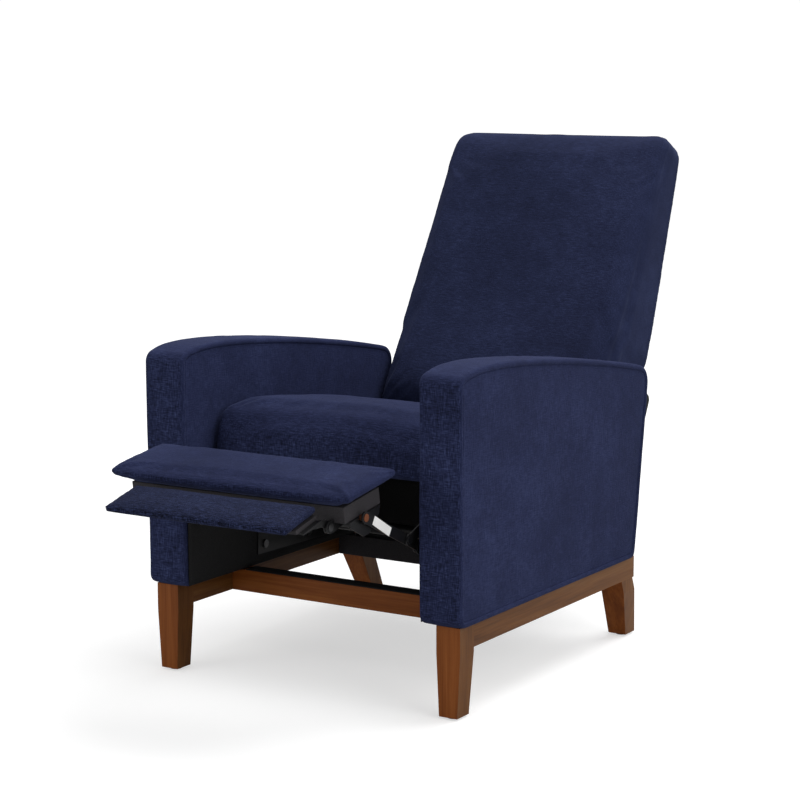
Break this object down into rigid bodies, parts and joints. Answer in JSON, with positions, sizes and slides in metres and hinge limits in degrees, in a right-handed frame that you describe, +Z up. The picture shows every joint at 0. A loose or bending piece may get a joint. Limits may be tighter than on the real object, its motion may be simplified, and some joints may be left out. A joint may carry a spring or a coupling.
{
  "type": "push-back recliner armchair",
  "caption": "Upholstered push-back recliner armchair on a timber base, drawn open: leaning back, gliding seat and a folding two-part footrest.",
  "frame": {"origin": "on the floor, under the middle of the open chair", "axes": "+X to the right seen from the front, -Y to the front, +Z up"},
  "size_m": [0.6858, 1.3589, 0.9843],
  "materials": {
    "fabric_navy": "woven navy upholstery",
    "wood_walnut": "satin walnut stain",
    "black_cloth": "black non-woven lining",
    "timber": "plain sawn timber",
    "black_board": "black covered board",
    "black_steel": "black enamelled steel",
    "zinc_steel": "zinc plated",
    "copper_rivet": "copper plated",
    "spring_steel": "oiled spring wire",
    "nylon": "plain nylon",
    "tag_white": "blank label"
  },
  "bodies": {
    "base": {"front_leg_left": "wood_walnut", "front_leg_right": "wood_walnut", "rear_leg_left": "wood_walnut", "rear_leg_right": "wood_walnut", "side_rail_left": "wood_walnut", "side_rail_right": "wood_walnut", "front_cross_rail": "wood_walnut", "front_rail_strip": "black_cloth", "rear_cross_rail": "black_board", "rear_lining": "black_cloth", "foot_glides": "nylon", "leg_studs": "zinc_steel", "arm_frame_left": "timber", "arm_frame_right": "timber", "arm_cover_left": "fabric_navy", "arm_cover_right": "fabric_navy", "arm_linings": "black_cloth", "base_plate_left": "black_steel", "base_plate_right": "black_steel", "base_plate_bolts": "zinc_steel", "glide_rollers": "nylon", "base_cross_tube": "black_steel"},
    "seat": {"seat_cushion": "fabric_navy", "seat_frame": "timber", "seat_springs": "spring_steel", "seat_lining": "black_cloth", "seat_plate_left": "black_steel", "seat_plate_right": "black_steel", "seat_plate_screws": "zinc_steel", "seat_cross_tube": "black_steel", "seat_link_rivets": "zinc_steel", "back_pivot_pins": "zinc_steel"},
    "back": {"back_cushion": "fabric_navy", "back_frame": "timber", "back_springs": "spring_steel", "back_tail_lining": "black_cloth", "back_bracket_left": "black_steel", "back_bracket_right": "black_steel", "back_bracket_screws": "zinc_steel"},
    "swing_links": {"swing_link_left": "black_steel", "swing_link_right": "black_steel", "swing_link_rivets": "zinc_steel"},
    "reach_links": {"reach_link_left": "black_steel", "reach_link_right": "black_steel", "blank_tag": "tag_white"},
    "control_links": {"control_link_left": "black_steel", "control_link_right": "black_steel", "control_link_rivets": "zinc_steel"},
    "ottoman": {"ottoman_pad": "fabric_navy", "ottoman_board": "black_board", "ottoman_bracket_left": "black_steel", "ottoman_bracket_right": "black_steel", "ottoman_cross_tube": "black_steel", "ottoman_rivets": "copper_rivet", "flap_hinge_plates": "black_steel", "flap_hinge_pins": "zinc_steel"},
    "flap": {"flap_pad": "fabric_navy", "flap_board": "black_board", "flap_arm_left": "black_steel", "flap_arm_right": "black_steel"}
  },
  "joints": [
    {"name": "seat_glide", "type": "slide", "parent": "base", "child": "seat", "axis": [0, 0.9976, -0.0698], "range_m": [0, 0.055]},
    {"name": "back_recline", "type": "hinge", "parent": "seat", "child": "back", "pos_m": [0, 0.29, 0.352], "axis": [1, 0, 0], "range_deg": [0, 12]},
    {"name": "footrest_swing", "type": "hinge", "parent": "seat", "child": "swing_links", "pos_m": [0, -0.224, 0.376], "axis": [1, 0, 0], "range_deg": [0, 118.08]},
    {"name": "footrest_reach", "type": "hinge", "parent": "swing_links", "child": "reach_links", "pos_m": [0, -0.38094, 0.31891], "axis": [1, 0, 0], "range_deg": [-109.5, 0]},
    {"name": "footrest_turn", "type": "hinge", "parent": "reach_links", "child": "ottoman", "pos_m": [0, -0.51288, 0.38142], "axis": [1, 0, 0], "range_deg": [0, 72.5]},
    {"name": "footrest_flap", "type": "hinge", "parent": "ottoman", "child": "flap", "pos_m": [0, -0.56689, 0.37084], "axis": [1, 0, 0], "range_deg": [0, 165]},
    {"name": "footrest_control", "type": "hinge", "parent": "seat", "child": "control_links", "pos_m": [0, -0.1831, 0.3697], "axis": [1, 0, 0], "range_deg": [0, 114]}
  ],
  "couplings": [
    {"joint": "seat_glide", "follows": "back_recline", "m_per_rad": 0.2625},
    {"joint": "footrest_reach", "follows": "footrest_swing", "ratio": -0.92202},
    {"joint": "footrest_turn", "follows": "footrest_swing", "ratio": 0.60799},
    {"joint": "footrest_flap", "follows": "footrest_swing", "ratio": 1.3889},
    {"joint": "footrest_control", "follows": "footrest_swing", "ratio": 0.95723}
  ]
}
